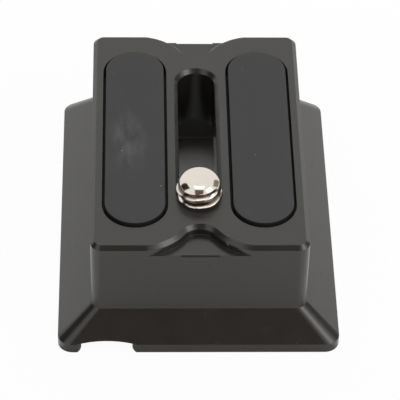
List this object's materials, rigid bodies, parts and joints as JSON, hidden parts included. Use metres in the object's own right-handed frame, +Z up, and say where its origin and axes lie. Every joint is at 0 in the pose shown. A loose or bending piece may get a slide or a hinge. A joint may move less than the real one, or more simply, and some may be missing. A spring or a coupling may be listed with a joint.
{
  "type": "tripod quick release plate",
  "caption": "Tall tripod quick release plate: flared dovetail base, block with rubber pads, and a captive camera screw that slides in a lengthwise slot.",
  "frame": {"origin": "centre of the underside", "axes": "+Z up through the camera screw, +Y along the slot away from the groove's mouth, +X across the dovetail"},
  "size_m": [0.038, 0.0496, 0.0199],
  "materials": {
    "anodised_body": "dark grey anodised, satin",
    "pad_rubber": "matt black rubber",
    "plated_screw": "bright nickel plate on steel",
    "washer_plastic": "black nylon",
    "ring_wire": "drawn stainless wire"
  },
  "bodies": {
    "plate": {"plate_body": "anodised_body", "left_pad": "pad_rubber", "right_pad": "pad_rubber"},
    "screw_slider": {"slide_washer": "washer_plastic"},
    "screw": {"camera_screw": "plated_screw"},
    "ring": {"finger_ring": "ring_wire"}
  },
  "joints": [
    {"name": "screw_slide", "type": "slide", "parent": "plate", "child": "screw_slider", "axis": [0, 1, 0], "range_m": [0, 0.0229]},
    {"name": "screw_turn", "type": "hinge", "parent": "screw_slider", "child": "screw", "pos_m": [0, -0.01145, 0.01], "axis": [0, 0, 1], "continuous": true},
    {"name": "ring_fold", "type": "hinge", "parent": "screw", "child": "ring", "pos_m": [0, -0.01145, 0.00305], "axis": [-1, 0, 0], "range_deg": [0, 180]}
  ]
}
